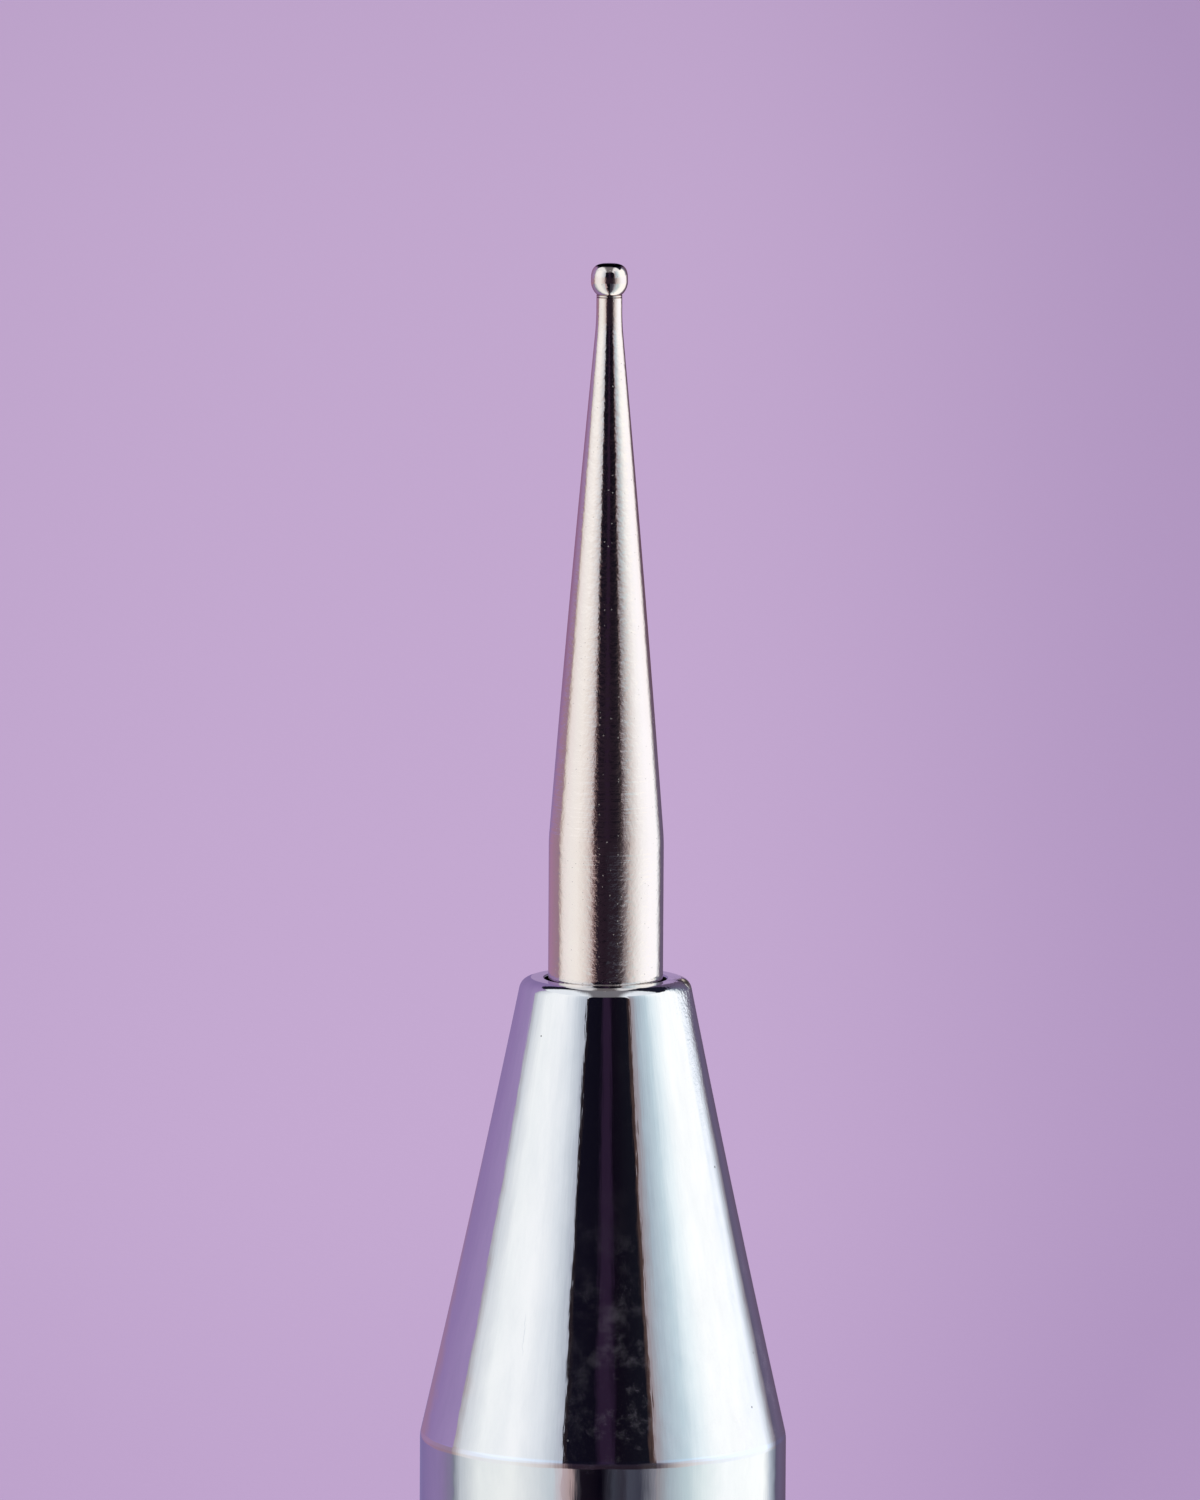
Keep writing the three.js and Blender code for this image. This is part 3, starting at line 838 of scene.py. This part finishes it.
# Painted reflection: the top of the ball is painted dark navy, in its colour and in the tint of its
# reflection.
on_ball_reflection = ramp(tree, height, stylus_tip - BALL_REFLECTION_DEPTH, stylus_tip - 0.6 * BALL_REFLECTION_DEPTH)
tree.links.new(blend(tree, on_ball_reflection, tone, BALL_TOP_PAINTED_REFLECTION), shader.inputs["Base Color"])
# Painted reflection: the taper's edges reflect pinker the higher they rise above the shoulder.
painted_edge_share = ramp(tree, height, shoulder, shoulder + PAINTED_EDGE_REACH)
painted_edge_reflection = blend(tree, painted_edge_share, (1, 1, 1, 1), NICKEL_PAINTED_EDGE)
tree.links.new(blend(tree, on_ball_reflection, painted_edge_reflection, BALL_TOP_PAINTED_REFLECTION), shader.inputs["Specular Tint"])
satin = math_node(tree, "MULTIPLY_ADD", grain, 0.05, 0.045)
satin = math_node(tree, "MULTIPLY_ADD", pits, 0.12, satin)
tree.links.new(satin, shader.inputs["Roughness"])
normal = relief(tree, orange, 4.0)
normal = relief(tree, grain, 4.5, normal)
normal = relief(tree, lines, 4.0, normal)
normal = relief(tree, pits, -2.5, normal)
tree.links.new(normal, shader.inputs["Normal"])
shader.inputs["Metallic"].default_value = 1.0
dotting_stylus.data.materials.append(stylus_finish)
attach(dotting_stylus, "stylus")
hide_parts("ball_stylus")

# Floor
# A wide sheet of lilac paper that runs back far behind the tool, and keeps its shadow.
# It has the soft fall-off of the studio's light, a faint tooth and a few specks of dust.
FLOOR_REACH = 60.0
SHADE_END = 0.13
SHADE_FULL = 0.42
LILAC = (0.545, 0.392, 0.624, 1)
LILAC_SHADE = (0.43, 0.298, 0.52, 1)
DUST_COLOUR = (0.43, 0.31, 0.5, 1)
PAPER_GLOW = 0.5
GLOW_AT_FOOT = 0.25
floor_mesh = bpy.data.meshes.new("studio_floor")
near, far = -FLOOR_REACH, FLOOR_REACH
floor_corners = [(near, near, 0), (far, near, 0), (far, far, 0), (near, far, 0)]
floor_mesh.from_pydata(floor_corners, [], [(0, 1, 2, 3)])
studio_floor = bpy.data.objects.new("studio_floor", floor_mesh)
bpy.context.scene.collection.objects.link(studio_floor)


def seen_directly(tree):
    """1 for rays that show a thing by itself or in a reflection, and 0 for those that carry light."""
    path = add(tree, "ShaderNodeLightPath").outputs
    mirrored = math_node(tree, "MAXIMUM", path["Is Glossy Ray"], path["Is Transmission Ray"])
    return math_node(tree, "MAXIMUM", path["Is Camera Ray"], mirrored)


paper = bpy.data.materials.new("lilac_paper")
paper.use_nodes = True
tree = paper.node_tree
shader = tree.nodes["Principled BSDF"]
place = add(tree, "ShaderNodeTexCoord").outputs["Object"]
east, north, _ = add(tree, "ShaderNodeSeparateXYZ", {0: place}).outputs
# Soft shade lies to the right and left by its slant, metres aside for each metre beyond the camera,
# and near and far by metres behind the tool. All of it ends well before the paper does.
depth = math_node(tree, "MAXIMUM", math_node(tree, "SUBTRACT", north, camera_place.y), 0.05)
slant = math_node(tree, "DIVIDE", east, depth)
shade_right = product(tree, ramp(tree, slant, 0.002, 0.056), ramp(tree, slant, 0.3, 0.12))
shade_left = product(tree, ramp(tree, slant, -0.02, -0.09), ramp(tree, slant, -0.4, -0.15))
shade_near = product(tree, ramp(tree, north, 0.78, 0.55), ramp(tree, north, 0.25, 0.5))
shade_far = product(tree, ramp(tree, north, 1.6, 2.6), ramp(tree, north, 5.0, 3.0))
shade = math_node(tree, "MULTIPLY_ADD", shade_left, 0.3, product(tree, shade_right, 0.95))
shade = math_node(tree, "MULTIPLY_ADD", shade_near, 0.32, shade)
shade = math_node(tree, "MULTIPLY_ADD", shade_far, 0.2, shade)
nearness = math_node(tree, "DIVIDE", 1.0, math_node(tree, "MAXIMUM", north, 0.05))
in_reach = product(tree, ramp(tree, north, 0.0, 0.6), ramp(tree, nearness, SHADE_END, SHADE_FULL))
shade = math_node(tree, "MULTIPLY", shade, in_reach, clamp=True)
lilac_here = blend(tree, shade, LILAC, LILAC_SHADE)
dust = specks(tree, place, 9.0, 0.016, 0.5)
lilac_here = blend(tree, product(tree, dust, 0.5), lilac_here, DUST_COLOUR)
tooth = noise(tree, place, 900.0, 3.0)
tree.links.new(lilac_here, shader.inputs["Base Color"])
tree.links.new(relief(tree, tooth, 40.0), shader.inputs["Normal"])
shader.inputs["Roughness"].default_value = 0.9
shader.inputs["Specular IOR Level"].default_value = 0.1
glow = add(tree, "ShaderNodeEmission", {"Color": lilac_here, "Strength": 1.0})
away = distance(tree, place)
glow_here = math_node(tree, "MULTIPLY_ADD", ramp(tree, away, 0.6, 4.0), 1 - PAPER_GLOW, PAPER_GLOW)
by_foot = product(tree, ramp(tree, away, 0.15, 0.02), PAPER_GLOW - GLOW_AT_FOOT)
glow_here = math_node(tree, "SUBTRACT", glow_here, by_foot)
glow_share = product(tree, seen_directly(tree), glow_here)
paper_mix = add(tree, "ShaderNodeMixShader", {0: glow_share, 1: shader.outputs[0], 2: glow.outputs[0]})
tree.links.new(paper_mix.outputs[0], tree.nodes["Material Output"].inputs[0])
floor_mesh.materials.append(paper)

# Studio cards
# Curved cards round the tool: two bright ones beside it, a dark one at the camera and dim ones behind.
# Flat cards carry their light on over the floor. They show in the metal and nowhere else.
CARD_RADIUS = 0.45
CARD_TOP = 0.5
FLAT_CARD_HEIGHT = 0.0015
FLAT_CARD_INNER_RADIUS = 0.006
FLAT_CARD_FADE = (0.008, 0.016)
CARD_STEP = math.radians(2)
CROWN_SHARE = 0.17
STYLUS_STARTS = (0.04, 0.05)
CONE_STARTS = (0.135, 0.17)


def studio_card(name, start, end, foot, head, crown=0.0):
    """A card between two bearings in degrees, 0 at the camera and right positive, from foot to head.

    Foot and head are (radius, height). A crown lowers the card's upper corners by so much, as arcs.
    Its map holds the share across it and the height in metres.
    """
    start, end = math.radians(start), math.radians(end)
    count = max(2, math.ceil((end - start) / CARD_STEP))
    places, faces = [], []
    for step in range(count + 1):
        bearing = start + (end - start) * step / count
        beyond = max(0.0, abs(step / count - 0.5) - 0.5 + CROWN_SHARE) / CROWN_SHARE
        drop = crown * (1 - math.sqrt(1 - beyond**2))
        for radius, height in (foot, (head[0], head[1] - drop)):
            places.append((radius * math.sin(bearing), -radius * math.cos(bearing), height))
    for step in range(count):
        first = 2 * step
        faces.append((first, first + 2, first + 3, first + 1))
    mesh = bpy.data.meshes.new(name)
    mesh.from_pydata(places, [], faces)
    layer = mesh.uv_layers.new(name="card")
    for loop in mesh.loops:
        layer.data[loop.index].uv = (loop.vertex_index // 2 / count, places[loop.vertex_index][2])
    card = bpy.data.objects.new(name, mesh)
    bpy.context.scene.collection.objects.link(card)
    card.visible_camera = False
    card.visible_diffuse = False
    card.visible_shadow = False
    return card


def banded(tree, across, bands):
    """Bands of colour across a card, from (share, colour) stops."""
    colours = add(tree, "ShaderNodeValToRGB", {0: across})
    stops = colours.color_ramp.elements
    stops[0].position, stops[0].color = bands[0][0], (*bands[0][1], 1)
    stops[1].position, stops[1].color = bands[-1][0], (*bands[-1][1], 1)
    for position, colour in bands[1:-1]:
        stops.new(position).color = (*colour, 1)
    return colours.outputs[0]


def light_card(
    card,
    cone_bands,
    stylus_bands=None,
    skirt_bands=None,
    cone_starts=CONE_STARTS,
    slant=0.0,
    fade=None,
):
    """Lights a card in bands: the cone mirrors its upper part, the stylus its middle, the skirt its foot.

    The line between the cone's part and the stylus's climbs by the slant from one end to the other.
    A card with a fade is clear nearer the tool than the first radius and full beyond the second.
    """
    material = bpy.data.materials.new(card.name + "_light")
    material.use_nodes = True
    tree = material.node_tree
    tree.nodes.remove(tree.nodes["Principled BSDF"])
    card_map = add(tree, "ShaderNodeUVMap", uv_map="card").outputs[0]
    across, up, _ = add(tree, "ShaderNodeSeparateXYZ", {0: card_map}).outputs
    colour = banded(tree, across, cone_bands)
    if stylus_bands:
        level = math_node(tree, "MULTIPLY_ADD", across, -slant, up)
        colour = blend(tree, ramp(tree, level, *cone_starts), banded(tree, across, stylus_bands), colour)
    if skirt_bands:
        colour = blend(tree, ramp(tree, up, *STYLUS_STARTS), banded(tree, across, skirt_bands), colour)
    light = add(tree, "ShaderNodeEmission", {0: colour, 1: 1.0})
    if fade:
        away = distance(tree, add(tree, "ShaderNodeTexCoord").outputs["Object"])
        clear = add(tree, "ShaderNodeBsdfTransparent").outputs[0]
        mix_inputs = {0: ramp(tree, away, *fade), 1: clear, 2: light.outputs[0]}
        light = add(tree, "ShaderNodeMixShader", mix_inputs)
    tree.links.new(light.outputs[0], tree.nodes["Material Output"].inputs[0])
    card.data.materials.append(material)


card_foot, card_head = (CARD_RADIUS, 0.0), (CARD_RADIUS, CARD_TOP)
flat_inner = (FLAT_CARD_INNER_RADIUS, FLAT_CARD_HEIGHT)
flat_outer = (CARD_RADIUS, FLAT_CARD_HEIGHT)
left_bands = [
    (0.0, (0.5, 0.5, 0.56)),
    (0.1, (0.8, 0.82, 0.86)),
    (0.3, (1.12, 1.13, 1.12)),
    (0.6, (1.15, 1.15, 1.15)),
    (0.8, (0.93, 0.96, 1.0)),
    (0.93, (0.68, 0.72, 0.78)),
    (1.0, (0.5, 0.52, 0.6)),
]
left_stylus_bands = [
    (0.0, (0.4, 0.3, 0.32)),
    (0.05, (0.62, 0.53, 0.51)),
    (0.12, (0.88, 0.83, 0.82)),
    (0.2, (0.97, 0.93, 0.945)),
    (0.4, (1.03, 1.025, 1.025)),
    (0.58, (1.05, 1.035, 1.015)),
    (0.73, (0.95, 0.91, 0.885)),
    (0.88, (0.775, 0.7, 0.69)),
    (1.0, (0.38, 0.29, 0.29)),
]
left_skirt_bands = [
    (0.0, (0.24, 0.25, 0.31)),
    (0.1, (0.64, 0.67, 0.71)),
    (0.3, (1.03, 1.05, 1.02)),
    (0.6, (1.06, 1.07, 1.04)),
    (0.8, (0.86, 0.89, 0.9)),
    (0.93, (0.685, 0.74, 0.78)),
    (1.0, (0.68, 0.57, 0.6)),
]
left_card = studio_card("left_card", -109, -26, card_foot, card_head)
light_card(left_card, left_bands, left_stylus_bands, left_skirt_bands)
right_bands = [
    (0.0, (0.38, 0.31, 0.33)),
    (0.09, (0.5, 0.58, 0.65)),
    (0.2, (0.69, 0.82, 0.88)),
    (0.3, (1.04, 1.13, 1.15)),
    (0.44, (1.3, 1.3, 1.27)),
    (0.755, (1.32, 1.3, 1.27)),
    (0.8, (0.78, 0.88, 0.93)),
    (0.843, (0.38, 0.44, 0.52)),
    (0.9, (0.19, 0.19, 0.27)),
    (1.0, (0.15, 0.125, 0.205)),
]
right_stylus_bands = [
    (0.0, (0.09, 0.07, 0.09)),
    (0.05, (0.23, 0.19, 0.2)),
    (0.16, (0.65, 0.59, 0.58)),
    (0.28, (0.93, 0.91, 0.92)),
    (0.42, (1.13, 1.16, 1.2)),
    (0.6, (1.22, 1.25, 1.33)),
    (0.845, (1.21, 1.24, 1.31)),
    (0.905, (0.76, 0.8, 0.87)),
    (0.965, (0.36, 0.33, 0.38)),
    (1.0, (0.17, 0.14, 0.19)),
]
right_skirt_bands = [
    (0.0, (0.33, 0.29, 0.31)),
    (0.09, (0.46, 0.53, 0.58)),
    (0.2, (0.63, 0.75, 0.78)),
    (0.31, (0.94, 1.03, 1.02)),
    (0.46, (1.28, 1.29, 1.26)),
    (0.83, (1.26, 1.27, 1.23)),
    (0.91, (0.56, 0.61, 0.69)),
    (1.0, (0.17, 0.18, 0.24)),
]
right_card = studio_card("right_card", 33, 140, card_foot, card_head)
light_card(right_card, right_bands, right_stylus_bands, right_skirt_bands)

front_bands = [
    (0.0, (0.03, 0.02, 0.022)),
    (0.06, (0.006, 0.005, 0.012)),
    (0.34, (0.005, 0.004, 0.01)),
    (0.41, (0.026, 0.013, 0.034)),
    (0.52, (0.026, 0.013, 0.034)),
    (0.6, (0.005, 0.003, 0.008)),
    (0.93, (0.008, 0.008, 0.014)),
    (1.0, (0.12, 0.07, 0.06)),
]
front_stylus_bands = [
    (0.0, (0.3, 0.2, 0.2)),
    (0.06, (0.1, 0.065, 0.07)),
    (0.12, (0.03, 0.018, 0.03)),
    (0.5, (0.022, 0.013, 0.023)),
    (0.8, (0.024, 0.016, 0.025)),
    (1.0, (0.07, 0.055, 0.06)),
]
front_card = studio_card("front_card", -26, 33, (CARD_RADIUS, 0.045), (CARD_RADIUS, 0.44), 0.16)
light_card(front_card, front_bands, front_stylus_bands)
doorway_bands = [
    (0.0, (0.6, 0.48, 0.5)),
    (0.1, (0.52, 0.38, 0.375)),
    (0.155, (0.05, 0.044, 0.056)),
    (0.2, (0.01, 0.007, 0.013)),
    (0.42, (0.003, 0.002, 0.006)),
    (0.49, (0.022, 0.02, 0.03)),
    (0.54, (0.05, 0.052, 0.072)),
    (0.66, (0.038, 0.034, 0.05)),
    (0.72, (0.07, 0.072, 0.1)),
    (0.84, (0.055, 0.055, 0.08)),
    (0.9, (0.12, 0.12, 0.15)),
    (1.0, (0.3, 0.29, 0.33)),
]
light_card(studio_card("doorway_card", -26, 33, card_foot, (CARD_RADIUS, 0.045)), doorway_bands)
plum_bands = [(0.0, (0.14, 0.12, 0.193)), (0.25, (0.16, 0.125, 0.213)), (1.0, (0.125, 0.083, 0.143))]
light_card(studio_card("plum_card", 140, 176, card_foot, card_head), plum_bands)
lilac_bands = [(0.0, (0.26, 0.18, 0.38)), (0.5, (0.33, 0.22, 0.46)), (1.0, (0.41, 0.29, 0.54))]
lilac_stylus_bands = [(0.0, (0.3, 0.18, 0.33)), (0.5, (0.4, 0.225, 0.37)), (1.0, (0.36, 0.24, 0.31))]
lilac_skirt_bands = [
    (0.0, (0.225, 0.19, 0.39)),
    (0.3, (0.24, 0.175, 0.385)),
    (0.5, (0.283, 0.198, 0.418)),
    (0.72, (0.315, 0.222, 0.445)),
    (0.8, (0.312, 0.222, 0.43)),
    (0.9, (0.285, 0.22, 0.38)),
    (1.0, (0.25, 0.235, 0.34)),
]
lilac_card = studio_card("lilac_card", -178, -109, card_foot, card_head)
light_card(lilac_card, lilac_bands, lilac_stylus_bands, lilac_skirt_bands, (0.048, 0.06), 0.075)
for flat_name, start, end, foot_bands in (
    ("left_flat_card", -109, -26, left_skirt_bands),
    ("front_flat_card", -26, 33, doorway_bands),
    ("right_flat_card", 33, 140, right_skirt_bands),
    ("plum_flat_card", 140, 176, plum_bands),
    ("lilac_flat_card", -178, -109, lilac_skirt_bands),
):
    flat_card = studio_card(flat_name, start, end, flat_inner, flat_outer)
    light_card(flat_card, foot_bands, fade=FLAT_CARD_FADE)

# Soft light
# Two large soft lamps, left and right of the camera, which the metal doesn't mirror. With the room's own
# light they give the floor its tone and the tool its shadow.
LAMP_AIM = Vector((0, 0, 0.07))
for lamp_name, spot, power, width in (
    ("soft_lamp_left", (-1.7, -1.0, 2.2), 22.0, 1.6),
    ("soft_lamp_right", (1.5, -1.3, 2.0), 11.0, 1.6),
):
    lamp_data = bpy.data.lights.new(lamp_name, "AREA")
    lamp_data.energy = power
    lamp_data.size = width
    lamp = bpy.data.objects.new(lamp_name, lamp_data)
    lamp.location = spot
    aim = LAMP_AIM - Vector(spot)
    lamp.rotation_euler = aim.to_track_quat("-Z", "Y").to_euler()
    lamp.visible_glossy = False
    bpy.context.scene.collection.objects.link(lamp)

# Room
# What lies beyond the cards: a pale ceiling over the camera, a dark one behind and the lilac backdrop.
# The metal mirrors all three, while the camera sees only the backdrop's colour.
ROOM_FILL = (0.86, 0.84, 0.88, 1)
CEILING_GREY = (0.2, 0.185, 0.2, 1)
CEILING_WHITE = (1.0, 1.02, 1.05, 1)
CEILING_DARK = (0.012, 0.012, 0.024, 1)
BACKDROP_MIRRORED = (0.42, 0.3, 0.52, 1)
world = bpy.data.worlds.new("studio_room")
world.use_nodes = True
bpy.context.scene.world = world
tree = world.node_tree
towards = add(tree, "ShaderNodeTexCoord").outputs["Generated"]
aside, back, up = add(tree, "ShaderNodeSeparateXYZ", {0: towards}).outputs
beside = ramp(tree, math_node(tree, "ABSOLUTE", aside), 0.22, 0.42)
ceiling = blend(tree, beside, CEILING_GREY, CEILING_WHITE)
behind = blend(tree, ramp(tree, up, 0.3, 0.5), BACKDROP_MIRRORED, CEILING_DARK)
rightward = math_node(tree, "MULTIPLY_ADD", math_node(tree, "MAXIMUM", aside, 0.0), 0.45, back)
mirrored_room = blend(tree, ramp(tree, rightward, 0.3, 0.4), ceiling, behind)
rays = add(tree, "ShaderNodeLightPath").outputs
shown_room = blend(tree, rays["Is Camera Ray"], mirrored_room, LILAC)
room = blend(tree, seen_directly(tree), ROOM_FILL, shown_room)
tree.links.new(room, tree.nodes["Background"].inputs["Color"])

bpy.context.scene.view_settings.view_transform = "Standard"
